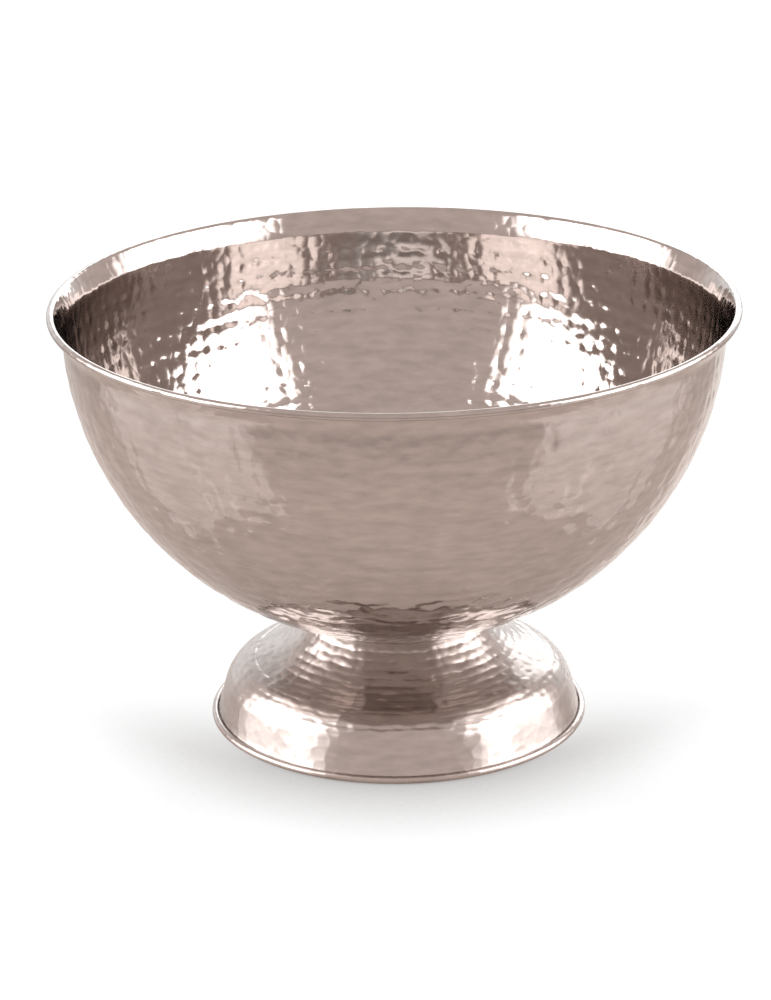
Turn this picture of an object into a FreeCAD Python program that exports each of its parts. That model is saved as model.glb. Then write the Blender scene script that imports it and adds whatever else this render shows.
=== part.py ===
import FreeCAD, Part
import math
import os

# Punch bowl: a hammered half-round bowl bolted to a spun pedestal foot.
# Millimetres and degrees. +Z is up and the origin is the centre of the base, on the table.

# Overall sizes.
rim_diameter = 368.0        # over the rim's bead
base_diameter = 205.0       # over the foot's bead
foot_height = 59.5          # table to the seat under the bowl's floor

# Sheet, wire and rolled edges.
sheet = 0.9                 # wall of the bowl and the foot
wire_diameter = 2.2         # wire inside both beads
wire_clearance = 0.03       # all round the wire
rim_curl = 290.0            # how far the sheet wraps the rim's wire
base_curl = 285.0           # how far the sheet wraps the base's wire
seat_cut = 0.1              # depth of the flat that the base bead is ground to

# Bowl.
rim_overhang = 7.6          # rim bead beyond the round wall
bowl_sweep = 87.0           # slope of the round wall where the smooth band starts
flare_radius = 12.0         # bend between the round wall and the band
band_lean = 25.0            # band's lean outwards from upright
floor_radius = 43.0         # flat floor that seats on the foot
floor_blend = 30.0          # bend between the floor and the round wall

# Foot.
neck_corner = 5.0           # bend at the edge of the seat
neck_slope = 60.0           # slope at the top of the neck, below level
shoulder_radius = 22.0      # bend over the shoulder
skirt_slope = 74.0          # slope of the skirt, below level
skirt_length = 17.0         # from the shoulder down to the bead

# Fixing.
stud_diameter = 6.0
flange_diameter = 12.0      # weld flange at the head of the stud
flange_thickness = 0.7
flange_clearance = 0.5      # round the flange, in the foot's hole
stud_proud = 3.0            # stud past the nut
stud_chamfer = 0.8
hole_clearance = 0.3        # round the stud, in the plate and the spring washer
thread_clearance = 0.03     # round the stud, in the nut
plate_inset = 7.0           # backing plate's edge inside the seat's edge
plate_thickness = 2.0
washer_width = 2.7          # spring washer's section, across
washer_thickness = 1.6
washer_slit = 0.8
washer_slit_slope = 25.0
nut_across_flats = 10.0
nut_height = 5.0
nut_chamfer = 30.0          # slope of the chamfer on the nut's corners
nut_countersink = 0.5

# Sizes that follow.
curl_radius = wire_diameter / 2 + wire_clearance
bead_radius = curl_radius + sheet
bowl_radius = rim_diameter / 2 - rim_overhang
stud_radius = stud_diameter / 2
flange_radius = flange_diameter / 2

Z_AXIS = FreeCAD.Vector(0, 0, 1)
ORIGIN = FreeCAD.Vector(0, 0, 0)


def sind(angle):
    return math.sin(math.radians(angle))


def cosd(angle):
    return math.cos(math.radians(angle))


def ahead(heading):
    """Unit vector along a heading in the XZ plane: 0 is outwards, 90 is up."""
    return FreeCAD.Vector(cosd(heading), 0, sind(heading))


def revolved(edges):
    """Solid of revolution about +Z of the closed outline that the edges make."""
    wire = Part.Wire(Part.__sortEdges__(edges))
    return Part.Face(wire).revolve(ORIGIN, Z_AXIS, 360)


def lathe(points):
    """Solid of revolution of a polygon given as (radius, height) corners."""
    corners = [FreeCAD.Vector(r, 0, z) for r, z in points]
    closed = corners + corners[:1]
    return revolved([Part.LineSegment(a, b).toShape() for a, b in zip(closed, closed[1:])])


class SheetWalk:
    """Section of a spun sheet, traced along one of its faces.

    The other face runs parallel to it, left of the walk by the thickness, or right of it if
    the thickness is negative.
    """

    def __init__(self, r, z, heading, thickness):
        self.here = FreeCAD.Vector(r, 0, z)
        self.heading = heading
        self.thickness = thickness
        self.edges = []
        self.start = self.both_faces(self.here, heading)

    def both_faces(self, point, heading):
        return point, point + ahead(heading + 90) * self.thickness

    def straight(self, length):
        end = self.here + ahead(self.heading) * length
        near_a, far_a = self.both_faces(self.here, self.heading)
        near_b, far_b = self.both_faces(end, self.heading)
        self.edges.append(Part.LineSegment(near_a, near_b).toShape())
        self.edges.append(Part.LineSegment(far_a, far_b).toShape())
        self.here = end

    def bend(self, radius, turn):
        """Arc of that radius on the walked face, to the left if turn is positive."""
        centre = self.here + ahead(self.heading + math.copysign(90, turn)) * radius
        spoke = self.here - centre
        near, far = [], []
        for share in (0, 0.5, 1):
            swing = FreeCAD.Rotation(FreeCAD.Vector(0, -1, 0), turn * share)
            sides = self.both_faces(centre + swing.multVec(spoke), self.heading + turn * share)
            near.append(sides[0])
            far.append(sides[1])
        self.edges.append(Part.Arc(*near).toShape())
        self.edges.append(Part.Arc(*far).toShape())
        self.here = near[2]
        self.heading += turn

    def solid(self):
        end = self.both_faces(self.here, self.heading)
        caps = [Part.LineSegment(*self.start).toShape(), Part.LineSegment(*end).toShape()]
        return revolved(self.edges + caps)


def blend_centre_depth():
    """Height of the bowl's centre above the centre of the floor blend."""
    return math.sqrt((bowl_radius - floor_blend) ** 2 - floor_radius ** 2)


def band_length():
    """Straight length of the smooth band, which brings the bead to the rim diameter."""
    slope = 90 - band_lean
    wall_top = bowl_radius * sind(bowl_sweep)
    flare = flare_radius * (sind(bowl_sweep) - sind(slope))
    bead_centre = rim_diameter / 2 - bead_radius
    return (bead_centre - wall_top - flare - curl_radius * sind(slope)) / cosd(slope)


def rim_height():
    """Height of the rim bead's centre above the table."""
    slope = 90 - band_lean
    bowl_centre = foot_height + floor_blend + blend_centre_depth()
    wall_top = bowl_centre - bowl_radius * cosd(bowl_sweep)
    flare = flare_radius * (cosd(slope) - cosd(bowl_sweep))
    return wall_top + flare + band_length() * sind(slope) - curl_radius * cosd(slope)


def bowl_shell():
    slope = 90 - band_lean
    blend_angle = math.degrees(math.atan2(floor_radius, blend_centre_depth()))
    walk = SheetWalk(0, foot_height, 0, sheet)
    walk.straight(floor_radius)
    walk.bend(floor_blend, blend_angle)
    walk.bend(bowl_radius, bowl_sweep - blend_angle)
    walk.bend(flare_radius, slope - bowl_sweep)
    walk.straight(band_length())
    walk.bend(curl_radius, -rim_curl)
    return walk.solid()


def bead_wire(bead_diameter, height):
    return Part.makeTorus(bead_diameter / 2 - bead_radius, wire_diameter / 2).translated(Z_AXIS * height)


def base_bead_height():
    return bead_radius - seat_cut


def neck_and_toe():
    """Radius of the neck's sweep and the slope at its toe, which bring the bead to the table."""
    drop = (foot_height - base_bead_height() - neck_corner * (1 - cosd(neck_slope))
            + (curl_radius + shoulder_radius) * cosd(skirt_slope) - skirt_length * sind(skirt_slope))
    reach = (base_diameter / 2 - bead_radius - floor_radius - neck_corner * sind(neck_slope)
             - (curl_radius + shoulder_radius) * sind(skirt_slope) - skirt_length * cosd(skirt_slope))
    spare = shoulder_radius + reach * sind(neck_slope) - drop * cosd(neck_slope)
    neck_sweep = (reach ** 2 + drop ** 2 - shoulder_radius ** 2) / (2 * spare)
    toe_run = neck_sweep * sind(neck_slope) - reach
    toe_slope = math.degrees(math.atan2(toe_run, drop + neck_sweep * cosd(neck_slope)))
    return neck_sweep, toe_slope


def foot_shell():
    neck_sweep, toe_slope = neck_and_toe()
    hole_radius = flange_radius + flange_clearance
    walk = SheetWalk(hole_radius, foot_height, 0, -sheet)
    walk.straight(floor_radius - hole_radius)
    walk.bend(neck_corner, -neck_slope)
    walk.bend(neck_sweep, neck_slope - toe_slope)
    walk.bend(shoulder_radius, toe_slope - skirt_slope)
    walk.straight(skirt_length)
    walk.bend(curl_radius, base_curl)
    table = Part.makeBox(base_diameter, base_diameter, base_diameter)
    table.translate(FreeCAD.Vector(-base_diameter / 2, -base_diameter / 2, -base_diameter))
    return walk.solid().cut(table).Solids[0]


plate_top = foot_height - sheet
washer_top = plate_top - plate_thickness
nut_top = washer_top - washer_thickness
stud_end = nut_top - nut_height - stud_proud


def weld_stud():
    flange_face = foot_height - flange_thickness
    return lathe([
        (0, foot_height),
        (flange_radius, foot_height),
        (flange_radius, flange_face),
        (stud_radius, flange_face),
        (stud_radius, stud_end + stud_chamfer),
        (stud_radius - stud_chamfer, stud_end),
        (0, stud_end),
    ])


def flat_ring(inner, outer, top, thickness):
    return lathe([(inner, top), (outer, top), (outer, top - thickness), (inner, top - thickness)])


def backing_plate():
    return flat_ring(stud_radius + hole_clearance, floor_radius - plate_inset, plate_top, plate_thickness)


def spring_washer():
    inner = stud_radius + hole_clearance
    outer = inner + washer_width
    ring = flat_ring(inner, outer, washer_top, washer_thickness)
    slit = Part.makeBox(outer, washer_slit, 4 * washer_thickness)
    slit.translate(FreeCAD.Vector(0, -washer_slit / 2, -2 * washer_thickness))
    slit.rotate(ORIGIN, FreeCAD.Vector(1, 0, 0), washer_slit_slope)
    slit.translate(FreeCAD.Vector(0, 0, washer_top - washer_thickness / 2))
    return ring.cut(slit).Solids[0]


def hex_nut():
    corner = nut_across_flats / 2 / cosd(30)
    bottom = nut_top - nut_height
    corners = [ahead(60 * k) * corner for k in range(7)]
    hexagon = Part.makePolygon([FreeCAD.Vector(c.x, c.z, bottom) for c in corners])
    prism = Part.Face(hexagon).extrude(Z_AXIS * nut_height)
    chamfer_drop = (corner - nut_across_flats / 2) * math.tan(math.radians(nut_chamfer))
    bore = stud_radius + thread_clearance
    turned = lathe([
        (bore + nut_countersink, nut_top),
        (nut_across_flats / 2, nut_top),
        (corner, nut_top - chamfer_drop),
        (corner, bottom + chamfer_drop),
        (nut_across_flats / 2, bottom),
        (bore + nut_countersink, bottom),
        (bore, bottom + nut_countersink),
        (bore, nut_top - nut_countersink),
    ])
    return prism.common(turned).Solids[0]


pieces = {
    "bowl_shell": bowl_shell(),
    "rim_wire": bead_wire(rim_diameter, rim_height()),
    "foot_shell": foot_shell(),
    "base_wire": bead_wire(base_diameter, base_bead_height()),
    "weld_stud": weld_stud(),
    "backing_plate": backing_plate(),
    "spring_washer": spring_washer(),
    "hex_nut": hex_nut(),
}

os.makedirs("parts", exist_ok=True)
for name, solid in pieces.items():
    if not solid.isValid() or len(solid.Solids) != 1:
        raise ValueError(name + " is not one valid solid")
    solid.exportStep("parts/" + name + ".step")
    print(name, round(solid.Volume, 1), "mm3")
print("overall height", round(rim_height() + bead_radius, 2))
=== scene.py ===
# Hammered stainless punch bowl on a spun foot, in a plain white studio. Metres.
import bmesh
import bpy
import math
import random
from mathutils import Matrix, Vector


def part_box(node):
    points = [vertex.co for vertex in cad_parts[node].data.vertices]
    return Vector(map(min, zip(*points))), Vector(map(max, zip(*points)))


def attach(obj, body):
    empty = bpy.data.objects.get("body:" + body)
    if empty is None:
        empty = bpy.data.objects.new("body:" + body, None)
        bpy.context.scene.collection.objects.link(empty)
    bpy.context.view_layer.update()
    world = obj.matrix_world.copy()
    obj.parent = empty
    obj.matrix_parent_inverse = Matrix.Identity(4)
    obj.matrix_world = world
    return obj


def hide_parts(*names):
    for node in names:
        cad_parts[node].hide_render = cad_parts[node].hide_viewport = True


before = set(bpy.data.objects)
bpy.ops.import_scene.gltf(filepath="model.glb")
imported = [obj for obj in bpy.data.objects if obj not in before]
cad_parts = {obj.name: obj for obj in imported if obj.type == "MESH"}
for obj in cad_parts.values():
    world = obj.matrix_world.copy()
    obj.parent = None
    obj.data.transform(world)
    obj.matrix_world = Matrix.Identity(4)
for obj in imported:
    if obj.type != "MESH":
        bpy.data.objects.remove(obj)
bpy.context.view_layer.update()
print("frame loaded")

mm = 0.001

camera = {
    "focal": 139.6,        # millimetres, as the sensor's width
    "sensor": 36,
    "distance": 2.094,
    "tilt": 20.27,         # degrees below level
    "roll": -0.717,
    "aim": (-0.00587, 0, 0.12203),
    "clip": (0.05, 50),
}

studio = {
    "floorSize": 14.0,
    "floorColour": "#BDB1A9",      # near the bowl, where the floor's painted light is brightest
    # painted shade: further out the floor darkens, standing in for light falling off away from the lamps
    "floorFarShade": "#655D58",
    "floorBlend": (0.25, 1.2),     # distances from the axis between which the far colour's painted shade takes over
    "floorShown": 0.16,            # how much of the white card the metal shows
    "floorGloss": 0.012,
    "floorIor": 1.75,
    "cardStrength": 1.02,          # of the white card, as the camera sees it
    "shadowColour": "#837B76",
    "shadowReach": 0.15,
    "shadowSamples": 16,
    "shadowRange": (0.25, 0.75),   # openness to the sky from full shadow to none
    "shadowFront": (-0.17, 0.04),  # the shadow fades out from the first to the second, front to back
    "roomColour": "#E7D9D3",       # the room in front, which the metal shows
    "backColour": "#FFFFFF",
    "backStrength": 1.15,
    "backFacing": (0.6, 0.9),      # how far back a direction points where the back takes over
    "ceilingColour": "#4A4643",
    "ceilingRise": (0.25, 0.95),   # how far up it points where the ceiling takes over
    "away": 1.7,                   # every lamp but the backdrop's
    "rise": 21.5,
    "lampHeight": 1.48,
    "lampAim": (0, 0, 0.1),
    "softbox": {"first": 54, "last": 78, "glow": 2.8},       # degrees round from the camera, either side
    "panel": {"first": 78, "last": 114, "glow": 2.6},
    "fade": 2,                     # strips of falling light beyond each edge
    "stripWidth": 3,
    "backdrop": {"around": 168, "rise": 18, "away": 2.2, "size": (1.7, 1.0), "glow": 1.5},
}


def linearColour(hexCode):
    # sRGB hex to linear
    parts = [int(hexCode[i:i + 2], 16) / 255 for i in (1, 3, 5)]
    return tuple(p / 12.92 if p <= 0.04045 else ((p + 0.055) / 1.055) ** 2.4 for p in parts) + (1,)


# ---- shapes

def arcPlace(centre, radius, angle, lean=0.0, down=None):
    # a place on the section: radius, height, the direction in which ridges rise there, and how far
    # down the rows of dents it lies, or None on a smooth stretch
    return centre[0] + radius * math.cos(angle), centre[1] + radius * math.sin(angle), lean, down


def sectionArc(centre, radius, first, last, steps):
    # steps + 1 places on an arc of the section, angles in degrees from outwards
    angles = [math.radians(first + (last - first) * k / steps) for k in range(steps + 1)]
    return [arcPlace(centre, radius, angle) for angle in angles]


def growRings(bm, places, columns, capped=False):
    # sweeps the places round the axis, one ring of vertices and edges each
    radius, height = places[0][:2]
    made = bmesh.ops.create_circle(bm, cap_ends=capped, cap_tris=True, segments=columns, radius=radius,
                                   matrix=Matrix.Translation((0, 0, height)))
    verts = [v for v in made["verts"] if v.co.xy.length > radius / 2]
    onRim = set(verts)
    edges = list({e for v in verts for e in v.link_edges if all(u in onRim for u in e.verts)})
    rings = [(verts, edges)]
    for nextRadius, nextHeight, *_ in places[1:]:
        grown = bmesh.ops.extrude_edge_only(bm, edges=edges)["geom"]
        verts = [g for g in grown if isinstance(g, bmesh.types.BMVert)]
        stretch = nextRadius / radius
        bmesh.ops.scale(bm, vec=(stretch, stretch, 1), verts=verts)
        bmesh.ops.translate(bm, vec=(0, 0, nextHeight - height), verts=verts)
        fresh = set(verts)
        edges = [g for g in grown if isinstance(g, bmesh.types.BMEdge) and all(v in fresh for v in g.verts)]
        rings.append((verts, edges))
        radius, height = nextRadius, nextHeight
    return rings


def joinRings(bm, first, second):
    bmesh.ops.bridge_loops(bm, edges=first[1] + second[1])


def gather(share):
    # crowds evenly spaced mesh lines towards the ridges between dents
    crowding = 0.07
    return share - crowding * math.sin(2 * math.pi * share)


def rowPlace(k, cells):
    # how far down the rows mesh line k lies, with cells mesh lines to a row
    return k // cells + gather(k % cells / cells)


def hammerRows(counts, seed):
    # rows of dents down a wall, each dent a little off its place, tilt and depth, from -1 to 1
    chance = random.Random(seed)
    names = ("slip", "drift", "tipAcross", "tipAlong", "shallow")
    return [[{name: chance.uniform(-1, 1) for name in names} for _ in range(count)] for count in counts]


def ridgeHeight(turn, down, rows, face):
    # how far the sheet stands above the floor of a dent: a little on the ridges round it, most on the
    # small knob left at each corner between four
    lowest = math.inf
    for i in range(max(0, int(down) - 1), min(len(rows), int(down) + 2)):
        row = rows[i]
        place = turn * len(row)
        for j in (math.floor(place - 0.5), math.floor(place + 0.5)):
            dent = row[j % len(row)]
            across = place - j - 0.5 - face["scatter"] * dent["slip"]
            along = down - i - 0.5 - face["scatter"] * dent["drift"]
            corner = min(1.2, 16 * across * across * along * along)     # 1 where four even dents meet
            tilt = dent["tipAcross"] * across + dent["tipAlong"] * along + dent["shallow"] / 4
            height = (face["fluting"] * 2 * across * across + face["ripple"] * 2 * along * along
                      + face["swell"] * corner + face["knob"] * corner ** 3 + face["uneven"] * tilt)
            lowest = min(lowest, height)
    return lowest


def hammer(rings, places, rows, face):
    # moves the rings' vertices into dents, which fade out over half a row at either end
    mean = (face["fluting"] + face["ripple"]) / 6
    for (verts, _), (_, _, lean, down) in zip(rings, places):
        if down is None or not 0 <= down <= len(rows):
            continue
        fade = min(1, 2 * down, 2 * (len(rows) - down))
        count = len(rows[min(int(down), len(rows) - 1)])
        for vert in verts:
            turn = math.atan2(vert.co.y, vert.co.x) / (2 * math.pi) % 1
            turn = (math.floor(turn * count) + gather(turn * count % 1)) / count
            lift = fade * (ridgeHeight(turn, down, rows, face) - mean)
            reach = vert.co.xy.length + lift * math.cos(lean)
            angle = 2 * math.pi * turn
            vert.co = (reach * math.cos(angle), reach * math.sin(angle), vert.co.z + lift * math.sin(lean))


def finishMesh(bm, name):
    bmesh.ops.recalc_face_normals(bm, faces=bm.faces)
    for face in bm.faces:
        face.smooth = True
    mesh = bpy.data.meshes.new(name)
    bm.to_mesh(mesh)
    print(name, sum(len(f.verts) - 2 for f in bm.faces), "triangles,",
          sum(1 for e in bm.edges if not e.is_manifold), "open edges")
    bm.free()
    piece = bpy.data.objects.new(name, mesh)
    bpy.context.scene.collection.objects.link(piece)
    return piece


bowl = {
    "sheet": 0.9 * mm,
    "wallRadius": 176.4 * mm,
    "start": 3.0,                # degrees below level where the round wall begins
    "flareRadius": 12.0 * mm,
    "bandLean": 25.0,
    "curlRadius": 1.13 * mm,     # inside the rim's bead
    "curlTurn": 290.0,
    "floorRadius": 43.0 * mm,
    "floorBlend": 30.0 * mm,
    "floorRings": 5,
    "bendSteps": 5,              # mesh lines in each bend between floor, wall and band
    "rowPitch": 10.6 * mm,
    "dents": [102] * 6 + [85] * 6 + [68] * 3 + [56] * 3 + [40] * 2,   # in each row, from the top
    "seed": 11,
    "zones": [(20, 15, 280), (15, 10, 340), (10, 0, 510)],      # rows and mesh columns, from the floor up
    "inside": {"cells": 5, "curlSteps": 12, "fluting": 0.12 * mm, "ripple": 0.1 * mm, "swell": 0.2 * mm,
               "knob": 0.3 * mm, "scatter": 0.04, "uneven": 0.1 * mm},
    "outside": {"cells": 4, "curlSteps": 6, "fluting": 0.24 * mm, "ripple": 0.36 * mm, "swell": 0.2 * mm,
                "knob": 0.05 * mm, "scatter": 0.16, "uneven": 0.42 * mm},
}


def bowlZones(size, side):
    # ring places from the middle of the floor to the curl's end, one list for each mesh zone
    face, inside = size[side], side == "inside"
    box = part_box("bowl_shell")
    floor, top, rim = box[0].z, box[1].z, box[1].x
    lift = size["sheet"] if inside else 0
    depth = math.sqrt((size["wallRadius"] - size["floorBlend"]) ** 2 - size["floorRadius"] ** 2)
    middle = floor + size["floorBlend"] + depth
    slope = math.degrees(math.atan2(size["floorRadius"], depth))
    spacing = size["floorRadius"] / size["floorRings"]
    places = [(spacing * k, floor + lift, 0, None) for k in range(1, size["floorRings"])]
    places += sectionArc((size["floorRadius"], floor + size["floorBlend"]), size["floorBlend"] - lift,
                         -90, slope - 90, size["bendSteps"])
    zones = []
    for low, high, columns in size["zones"]:
        shared = 1 if zones else 0     # the zone below has already laid the line they meet on
        for k in range(low * face["cells"] - shared, high * face["cells"] - 1, -1):
            down = rowPlace(k, face["cells"])
            angle = -math.radians(size["start"]) - size["rowPitch"] / size["wallRadius"] * down
            places.append(arcPlace((0, middle), size["wallRadius"] - lift, angle, angle + math.pi, down))
        zones.append((places, columns))
        places = []
    reach = size["wallRadius"] + size["flareRadius"]
    steep = math.radians(size["start"])
    flareCentre = (reach * math.cos(steep), middle - reach * math.sin(steep))
    flare = sectionArc(flareCentre, size["flareRadius"] + lift,
                       180 - size["start"], 180 - size["bandLean"], size["bendSteps"])
    bead = size["curlRadius"] + size["sheet"]
    curl = sectionArc((rim - bead, top - bead), bead if inside else size["curlRadius"],
                      180 - size["bandLean"], 180 - size["bandLean"] - size["curlTurn"], face["curlSteps"])
    halfway = ((flare[-1][0] + curl[0][0]) / 2, (flare[-1][1] + curl[0][1]) / 2, 0, None)
    zones[-1][0].extend(flare[1:] + [halfway] + curl)
    return zones


def makeBowl(size):
    bm = bmesh.new()
    rows = hammerRows(size["dents"], size["seed"])
    ends = []
    for side in ("inside", "outside"):
        last = None
        for places, columns in bowlZones(size, side):
            rings = growRings(bm, places, columns, capped=last is None)
            hammer(rings, places, rows, size[side])
            if last:
                joinRings(bm, last, rings[0])
            last = rings[-1]
        ends.append(last)
    joinRings(bm, *ends)
    return finishMesh(bm, "hammered_bowl")


foot = {
    "sheet": 0.9 * mm,
    "holeRadius": 6.5 * mm,
    "seatRadius": 43.0 * mm,
    "seatRings": (20 * mm, 35 * mm),     # mesh lines across the flat seat
    "cornerRadius": 5.0 * mm,
    "cornerSteps": 4,
    "neckSlope": 60.0,
    "shoulderRadius": 22.0 * mm,
    "skirtSlope": 74.0,
    "skirtLength": 17.0 * mm,
    "skirtRings": (0.33, 0.66),          # shares of its length
    "curlRadius": 1.13 * mm,
    "curlTurn": 285.0,
    "curlSteps": {"outside": 6, "inside": 14},
    "groundOff": 0.1 * mm,               # under the bead
    "dents": [50] * 6 + [60] * 7,        # in each row, from the neck to the end of the shoulder
    "seed": 7,
    "columns": 300,
    "cells": 5,
    "face": {"fluting": 0.1 * mm, "ripple": 0.34 * mm, "swell": 0.12 * mm, "knob": 0.08 * mm,
             "scatter": 0.12, "uneven": 0.16 * mm},
}


def footPlaces(size, side):
    # ring places from the hole in the seat, down the neck and the skirt, round the bead
    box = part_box("foot_shell")
    seat, base = box[1].z, box[1].x
    inside = side == "inside"
    lift = size["sheet"] if inside else 0
    bead = size["curlRadius"] + size["sheet"]
    neck, skirt = math.radians(size["neckSlope"]), math.radians(size["skirtSlope"])
    shoulder, length = size["shoulderRadius"], size["skirtLength"]
    # the sweep's radius and the toe's slope close the section between the seat and the bead
    curlCentre = (base - bead, bead - size["groundOff"])
    corner = (size["seatRadius"] + size["cornerRadius"] * math.sin(neck),
              seat - size["cornerRadius"] * (1 - math.cos(neck)))
    bend = size["curlRadius"] + shoulder
    reach = curlCentre[0] - corner[0] - bend * math.sin(skirt) - length * math.cos(skirt)
    fall = corner[1] - curlCentre[1] + bend * math.cos(skirt) - length * math.sin(skirt)
    spare = shoulder + reach * math.sin(neck) - fall * math.cos(neck)
    sweep = (reach ** 2 + fall ** 2 - shoulder ** 2) / (2 * spare)
    toe = math.atan2(sweep * math.sin(neck) - reach, fall + sweep * math.cos(neck))
    sweepCentre = (corner[0] + sweep * math.sin(neck), corner[1] + sweep * math.cos(neck))
    toeEnd = (sweepCentre[0] - sweep * math.sin(toe), sweepCentre[1] - sweep * math.cos(toe))
    shoulderCentre = (toeEnd[0] - shoulder * math.sin(toe), toeEnd[1] - shoulder * math.cos(toe))

    rows, cells = len(size["dents"]), size["cells"]
    neckRun = sweep * (neck - toe)
    total = neckRun + shoulder * (skirt - toe)
    places = [(r, seat - lift, 0, None) for r in (size["holeRadius"], *size["seatRings"])]
    places += sectionArc((size["seatRadius"], seat - size["cornerRadius"]), size["cornerRadius"] - lift,
                         90, 90 - size["neckSlope"], size["cornerSteps"])[:-1]
    for k in range(rows * cells + 1):
        down = rowPlace(k, cells)
        run = total * down / rows
        if run <= neckRun:
            angle = 3 * math.pi / 2 - neck + run / sweep
            places.append(arcPlace(sweepCentre, sweep + lift, angle, angle, down))
        else:
            angle = math.pi / 2 - toe - (run - neckRun) / shoulder
            places.append(arcPlace(shoulderCentre, shoulder - lift, angle, angle + math.pi, down))
    top = places[-1]
    for share in size["skirtRings"]:
        run = length * share
        places.append((top[0] + run * math.cos(skirt), top[1] - run * math.sin(skirt), 0, None))
    return places + sectionArc(curlCentre, bead if inside else size["curlRadius"], 270 - size["skirtSlope"],
                               270 - size["skirtSlope"] + size["curlTurn"], size["curlSteps"][side])


def makeFoot(size):
    bm = bmesh.new()
    rows = hammerRows(size["dents"], size["seed"])
    sides = {}
    for side in ("outside", "inside"):
        places = footPlaces(size, side)
        sides[side] = growRings(bm, places, size["columns"])
        hammer(sides[side], places, rows, size["face"])
    for end in (0, -1):
        joinRings(bm, sides["outside"][end], sides["inside"][end])
    for vert in bm.verts:
        vert.co.z = max(vert.co.z, 0)     # the flat that the bead is ground to
    return finishMesh(bm, "hammered_foot")


# ---- nodes

def addNode(tree, kind, settings=None, links=None):
    # settings: socket or property to value; links: input socket to the output that feeds it
    node = tree.nodes.new(kind)
    for name, value in (settings or {}).items():
        if isinstance(name, int) or name in node.inputs:
            node.inputs[name].default_value = value
        else:
            setattr(node, name, value)
    for name, source in (links or {}).items():
        tree.links.new(source, node.inputs[name])
    return node


def remap(tree, value, start, end, low=0.0, high=1.0, smooth=False):
    # from start to end becomes from low to high
    settings = {"interpolation_type": "SMOOTHSTEP" if smooth else "LINEAR",
                "From Min": start, "From Max": end, "To Min": low, "To Max": high}
    return addNode(tree, "ShaderNodeMapRange", settings, {"Value": value}).outputs["Result"]


def feedColour(tree, socket, colour):
    # the colour is a value or the output that gives it
    if isinstance(colour, bpy.types.NodeSocket):
        tree.links.new(colour, socket)
    else:
        socket.default_value = colour


def mixColours(tree, share, first, second):
    # share 0 shows the first colour
    node = addNode(tree, "ShaderNodeMix", {"data_type": "RGBA"}, {"Factor": share})
    feedColour(tree, node.inputs[6], first)
    feedColour(tree, node.inputs[7], second)
    return node.outputs[2]


def mixShaders(tree, share, first, second):
    return addNode(tree, "ShaderNodeMixShader", None, {0: share, 1: first, 2: second}).outputs["Shader"]


def noise(tree, vector, scale, detail):
    return addNode(tree, "ShaderNodeTexNoise", {"Scale": scale, "Detail": detail},
                   {"Vector": vector}).outputs["Fac"]


def bumped(tree, height, distance, normal=None):
    links = {"Height": height}
    if normal:
        links["Normal"] = normal
    return addNode(tree, "ShaderNodeBump", {"Distance": distance}, links).outputs["Normal"]


def splitAxes(tree, vector):
    return addNode(tree, "ShaderNodeSeparateXYZ", None, {"Vector": vector}).outputs


def newMaterial(name):
    # the material, its tree and its object coordinates
    material = bpy.data.materials.new(name)
    material.use_nodes = True
    tree = material.node_tree
    tree.nodes.clear()
    return material, tree, addNode(tree, "ShaderNodeTexCoord").outputs["Object"]


def finishMetal(tree, colour, roughness, normal):
    shader = addNode(tree, "ShaderNodeBsdfPrincipled", {"Metallic": 1.0},
                     {"Roughness": roughness, "Normal": normal})
    feedColour(tree, shader.inputs["Base Color"], colour)
    addNode(tree, "ShaderNodeOutputMaterial", None, {"Surface": shader.outputs["BSDF"]})


# ---- materials

hammeredLook = {
    "colour": "#C3BAB6", "darkColour": "#B2AAA6",
    "glintSpecks": 4 * mm, "drawnOut": 0.3,       # painted glints: lighter and darker spots standing in for the reflections of small hammered facets, wider than tall
    "glintRange": (0.3, 0.7),
    "roughness": 0.06, "haze": 0.06,         # buffing leaves clouds of haze
    "clouds": 55 * mm,
    "footTop": 62 * mm, "footBlend": 4 * mm, "footHaze": 0.12,     # the foot is buffed less
    "marks": 6 * mm, "markDepth": 0.2 * mm,      # the planishing hammer's fine marks
    "grain": 0.6 * mm, "grainDepth": 0.002 * mm,     # buffing grain, drawn coarse enough to show
}

wireLook = {"colour": "#A9A5A1", "roughness": 0.22, "drag": 0.1, "lines": 0.25 * mm, "lineDepth": 0.004 * mm}

fixingLook = {
    "colour": "#B1ADA8", "darkColour": "#9C9894",
    "roughness": 0.3, "wear": 0.14,
    "stains": 120.0,                         # per metre
    "turning": 0.35 * mm, "turnDepth": 0.01 * mm,     # the rings are 2 pi times the first apart
}


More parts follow.
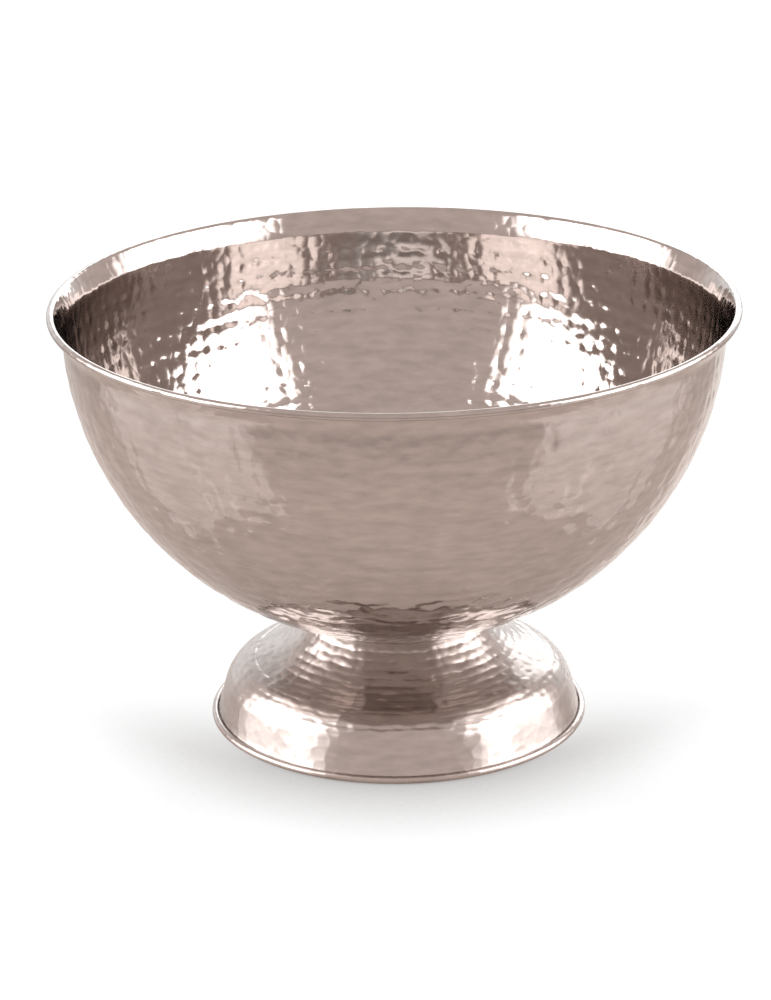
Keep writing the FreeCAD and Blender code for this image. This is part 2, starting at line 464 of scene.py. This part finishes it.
def hammeredSteel(look):
    # stainless steel sheet, hammered then buffed: a warm grey mirror, clouded with faint haze
    material, tree, place = newMaterial("hammered stainless steel")
    cloud = noise(tree, place, 1 / look["clouds"], 3.0)
    stretch = addNode(tree, "ShaderNodeMapping", {"Scale": (look["drawnOut"], look["drawnOut"], 1)},
                      {"Vector": place})
    # painted reflection: specks of lighter and darker colour stand in for the glints of small hammered
    # facets
    glint = noise(tree, stretch.outputs["Vector"], 1 / look["glintSpecks"], 2.0)
    tint = mixColours(tree, remap(tree, glint, *look["glintRange"]),
                      linearColour(look["colour"]), linearColour(look["darkColour"]))
    hazy = remap(tree, cloud, 0, 1, look["roughness"], look["roughness"] + look["haze"])
    low = remap(tree, splitAxes(tree, place)["Z"], look["footTop"], look["footTop"] - look["footBlend"],
                0, look["footHaze"])
    rough = addNode(tree, "ShaderNodeMath", {"operation": "ADD"}, {0: hazy, 1: low})
    marks = addNode(tree, "ShaderNodeTexVoronoi",
                    {"feature": "SMOOTH_F1", "Scale": 1 / look["marks"], "Smoothness": 0.4},
                    {"Vector": place})
    domed = addNode(tree, "ShaderNodeMath", {"operation": "POWER", 1: 2.0}, {0: marks.outputs["Distance"]})
    hammered = bumped(tree, domed.outputs["Value"], look["markDepth"])
    fine = noise(tree, place, 1 / look["grain"], 2.0)
    finishMetal(tree, tint, rough.outputs["Value"], bumped(tree, fine, look["grainDepth"], hammered))
    return material


def drawnWire(look):
    # stainless wire as it left the die: dull, with fine lines dragged along it, round the bowl
    material, tree, place = newMaterial("drawn stainless wire")
    axes = splitAxes(tree, place)
    level = addNode(tree, "ShaderNodeCombineXYZ", None, {"X": axes["X"], "Y": axes["Y"]})
    radius = addNode(tree, "ShaderNodeVectorMath", {"operation": "LENGTH"}, {0: level.outputs["Vector"]})
    section = addNode(tree, "ShaderNodeCombineXYZ", None, {"X": radius.outputs["Value"], "Y": axes["Z"]})
    lines = noise(tree, section.outputs["Vector"], 1 / look["lines"], 2.0)
    rough = remap(tree, lines, 0, 1, look["roughness"], look["roughness"] + look["drag"])
    finishMetal(tree, linearColour(look["colour"]), rough, bumped(tree, lines, look["lineDepth"]))
    return material


def turnedSteel(look):
    # plain stainless fixings, turned and pressed: satin, with fine rings round the axis
    material, tree, place = newMaterial("turned stainless steel")
    waveScale = 1 / look["turning"] / 20     # the node's own wave runs at 20 radians to a unit
    rings = addNode(tree, "ShaderNodeTexWave",
                    {"wave_type": "RINGS", "rings_direction": "Z", "Scale": waveScale, "Distortion": 0.4,
                     "Detail": 2.0}, {"Vector": place})
    stain = noise(tree, place, look["stains"], 4.0)
    tint = mixColours(tree, stain, linearColour(look["colour"]), linearColour(look["darkColour"]))
    rough = remap(tree, stain, 0, 1, look["roughness"], look["roughness"] + look["wear"])
    finishMetal(tree, tint, rough, bumped(tree, rings.outputs["Fac"], look["turnDepth"]))
    return material


def paint(piece, material):
    piece.data.materials.clear()
    piece.data.materials.append(material)


# ---- studio

def hangLamp(name, around, rise, away, size, glow):
    # a rectangle of even light that faces the object
    light = bpy.data.lights.new(name, "AREA")
    light.shape = "RECTANGLE"
    light.size, light.size_y = size
    light.energy = glow * math.pi * size[0] * size[1]
    around, rise = math.radians(around), math.radians(rise)
    towards = Vector((math.sin(around) * math.cos(rise), -math.cos(around) * math.cos(rise), math.sin(rise)))
    holder = bpy.data.objects.new(name, light)
    holder.location = Vector(studio["lampAim"]) + towards * away
    holder.rotation_euler = towards.to_track_quat("Z", "Y").to_euler()
    holder.visible_camera = False
    bpy.context.scene.collection.objects.link(holder)


def tableMaterial(look):
    # glossy white table for the metal to show; to the camera a white card with the bowl's shadow
    material, tree, place = newMaterial("white acrylic table")
    path = addNode(tree, "ShaderNodeLightPath").outputs
    away = addNode(tree, "ShaderNodeVectorMath", {"operation": "LENGTH"}, {0: place})
    # painted shade: the table darkens away from the axis, standing in for light falling off away from the
    # lamps
    farShade = remap(tree, away.outputs["Value"], *look["floorBlend"], smooth=True)
    shadedTone = mixColours(tree, farShade, linearColour(look["floorColour"]), linearColour(look["floorFarShade"]))
    matt = addNode(tree, "ShaderNodeBsdfDiffuse", None, {"Color": shadedTone})
    shiny = addNode(tree, "ShaderNodeBsdfGlossy", {"Roughness": look["floorGloss"]})
    sheen = addNode(tree, "ShaderNodeFresnel", {"IOR": look["floorIor"]})
    lit = mixShaders(tree, sheen.outputs["Fac"], matt.outputs["BSDF"], shiny.outputs["BSDF"])
    # the card's shadow: only where the bowl shuts out the light from above, and only in front, as the
    # backdrop lights the rest
    openness = addNode(tree, "ShaderNodeAmbientOcclusion",
                       {"samples": look["shadowSamples"], "Distance": look["shadowReach"]})
    behind = remap(tree, splitAxes(tree, place)["Y"], *look["shadowFront"], smooth=True)
    clear = addNode(tree, "ShaderNodeMath", {"operation": "MAXIMUM"},
                    {0: remap(tree, openness.outputs["AO"], *look["shadowRange"]), 1: behind})
    shade = mixColours(tree, clear.outputs["Value"], linearColour(look["shadowColour"]), (1, 1, 1, 1))
    mirrored = addNode(tree, "ShaderNodeMath", {"operation": "MAXIMUM"},
                       {0: path["Is Glossy Ray"], 1: path["Is Transmission Ray"]})
    shown = addNode(tree, "ShaderNodeMath", {"operation": "MULTIPLY", 1: look["floorShown"]},
                    {0: mirrored.outputs["Value"]})
    white = addNode(tree, "ShaderNodeEmission", {"Strength": look["cardStrength"]}, {"Color": shade})
    faint = addNode(tree, "ShaderNodeEmission", None, {"Color": shade, "Strength": shown.outputs["Value"]})
    both = addNode(tree, "ShaderNodeAddShader", None, {0: lit, 1: faint.outputs["Emission"]})
    whole = mixShaders(tree, path["Is Camera Ray"], both.outputs["Shader"], white.outputs["Emission"])
    addNode(tree, "ShaderNodeOutputMaterial", None, {"Surface": whole})
    return material


def makeFloor(look):
    bm = bmesh.new()
    bmesh.ops.create_grid(bm, x_segments=1, y_segments=1, size=look["floorSize"] / 2)
    mesh = bpy.data.meshes.new("studio_floor")
    bm.to_mesh(mesh)
    bm.free()
    floor = bpy.data.objects.new("studio_floor", mesh)
    bpy.context.scene.collection.objects.link(floor)
    paint(floor, tableMaterial(look))


def makeWorld(look):
    # dim room in front, white back, darker ceiling; plain white to the camera
    world = bpy.data.worlds.new("studio")
    bpy.context.scene.world = world
    world.use_nodes = True
    tree = world.node_tree
    tree.nodes.clear()
    axes = splitAxes(tree, addNode(tree, "ShaderNodeTexCoord").outputs["Generated"])
    bright = [part * look["backStrength"] for part in linearColour(look["backColour"])]
    above = remap(tree, axes["Z"], *look["ceilingRise"])
    back = mixColours(tree, above, bright, linearColour(look["ceilingColour"]))
    facing = remap(tree, axes["Y"], *look["backFacing"], smooth=True)
    sky = mixColours(tree, facing, linearColour(look["roomColour"]), back)
    path = addNode(tree, "ShaderNodeLightPath")
    seen = mixColours(tree, path.outputs["Is Camera Ray"], sky, (1, 1, 1, 1))
    glow = addNode(tree, "ShaderNodeBackground", {"Strength": 1.0}, {"Color": seen})
    addNode(tree, "ShaderNodeOutputWorld", None, {"Surface": glow.outputs["Background"]})


def hangLamps(look):
    softbox, panel, width = look["softbox"], look["panel"], look["stripWidth"]
    hung = [softbox, panel]
    for k in range(look["fade"]):
        share = (look["fade"] - k) / (look["fade"] + 1)
        inner, outer = softbox["first"] - (k + 1) * width, panel["last"] + k * width
        hung.append({"first": inner, "last": inner + width, "glow": share * softbox["glow"]})
        hung.append({"first": outer, "last": outer + width, "glow": share * panel["glow"]})
    for side in (-1, 1):
        for lamp in hung:
            half = math.radians(lamp["last"] - lamp["first"]) / 2
            across = 2 * look["away"] * math.tan(half) * math.cos(math.radians(look["rise"]))
            hangLamp("softbox", side * (lamp["first"] + lamp["last"]) / 2, look["rise"], look["away"],
                     (across, look["lampHeight"]), lamp["glow"])
    back = look["backdrop"]
    hangLamp("backdrop_light", back["around"], back["rise"], back["away"], back["size"], back["glow"])


def makeCamera(view):
    lens = bpy.data.cameras.new("camera")
    lens.lens, lens.sensor_width = view["focal"], view["sensor"]
    lens.clip_start, lens.clip_end = view["clip"]
    holder = bpy.data.objects.new("camera", lens)
    bpy.context.scene.collection.objects.link(holder)
    tilt = math.radians(view["tilt"])
    back = Vector((0, -math.cos(tilt), math.sin(tilt)))
    upright = Matrix.Rotation(math.radians(90 - view["tilt"]), 4, "X")
    roll = Matrix.Rotation(math.radians(view["roll"]), 4, "Z")
    holder.matrix_world = Matrix.Translation(Vector(view["aim"]) + back * view["distance"]) @ upright @ roll
    bpy.context.scene.camera = holder


# ---- the scene

bpy.context.scene.view_settings.view_transform = "Standard"
makeCamera(camera)
makeFloor(studio)
makeWorld(studio)
hangLamps(studio)
print("studio ready")

steel = hammeredSteel(hammeredLook)
bowlPiece = makeBowl(bowl)
paint(bowlPiece, steel)
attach(bowlPiece, "root")
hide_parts("bowl_shell")
print("bowl made")

footPiece = makeFoot(foot)
paint(footPiece, steel)
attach(footPiece, "root")
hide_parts("foot_shell")
print("foot made")

wire = drawnWire(wireLook)
for name in ("rim_wire", "base_wire"):
    paint(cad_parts[name], wire)
fixing = turnedSteel(fixingLook)
for name in ("weld_stud", "backing_plate", "spring_washer", "hex_nut"):
    paint(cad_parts[name], fixing)
print("wires and fixings finished")
